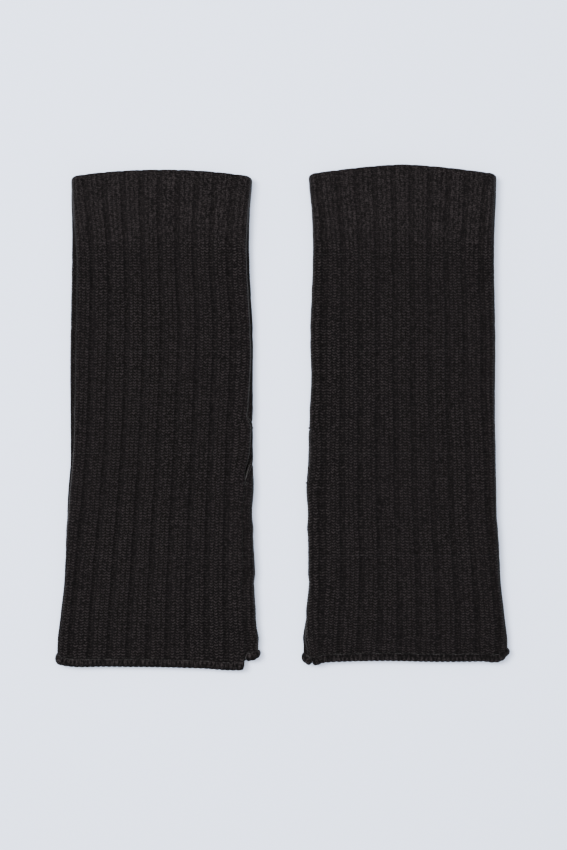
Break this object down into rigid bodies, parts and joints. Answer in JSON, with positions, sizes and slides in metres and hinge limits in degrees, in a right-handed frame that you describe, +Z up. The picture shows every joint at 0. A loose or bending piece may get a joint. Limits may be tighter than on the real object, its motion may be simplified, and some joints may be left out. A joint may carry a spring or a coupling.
{
  "type": "ribbed knit fingerless mitts",
  "caption": "Pair of long rib-knit fingerless mitts laid flat, open at both ends, with turned-in cuffs, side-seam thumb openings and hand ends that fold back over the knuckles.",
  "frame": {"origin": "on the surface the pair lies on, midway between the two mitts and midway along their length", "axes": "+Y from the wide hand opening to the cuff, +Z up away from the surface, +X from the left mitt to the right mitt"},
  "size_m": [0.2696, 0.3, 0.012],
  "materials": {
    "knit_body": "matte",
    "knit_cuff": "matte",
    "hem_edge": "matte",
    "linking_thread": "matte"
  },
  "bodies": {
    "left_mitt": {"left_tube": "knit_body", "left_cuff_linking": "linking_thread", "left_seam_upper": "linking_thread", "left_seam_middle": "linking_thread", "left_tack_upper": "linking_thread", "left_tack_lower": "linking_thread"},
    "left_hand_end": {"left_hand_end": "knit_body", "left_hem_band": "hem_edge", "left_seam_hand": "linking_thread"},
    "left_cuff": {"left_cuff": "knit_cuff"},
    "right_mitt": {"right_tube": "knit_body", "right_cuff_linking": "linking_thread", "right_seam_upper": "linking_thread", "right_seam_middle": "linking_thread", "right_tack_upper": "linking_thread", "right_tack_lower": "linking_thread"},
    "right_hand_end": {"right_hand_end": "knit_body", "right_hem_band": "hem_edge", "right_seam_hand": "linking_thread"},
    "right_cuff": {"right_cuff": "knit_cuff"}
  },
  "joints": [
    {"name": "left_cuff_fold", "type": "hinge", "parent": "left_mitt", "child": "left_cuff", "pos_m": [-0.0728, 0.107, 0.0124], "axis": [1, 0, 0], "range_deg": [0, 178]},
    {"name": "left_hand_fold", "type": "hinge", "parent": "left_mitt", "child": "left_hand_end", "pos_m": [-0.0736, -0.094, 0.0118], "axis": [-1, 0, 0], "range_deg": [0, 178]},
    {"name": "right_mitt_lift", "type": "slide", "parent": "left_mitt", "child": "right_mitt", "axis": [0, 0, 1], "range_m": [0, 0.15]},
    {"name": "right_cuff_fold", "type": "hinge", "parent": "right_mitt", "child": "right_cuff", "pos_m": [0.0728, 0.107, 0.0124], "axis": [1, 0, 0], "range_deg": [0, 178]},
    {"name": "right_hand_fold", "type": "hinge", "parent": "right_mitt", "child": "right_hand_end", "pos_m": [0.0736, -0.094, 0.0118], "axis": [-1, 0, 0], "range_deg": [0, 178]}
  ]
}
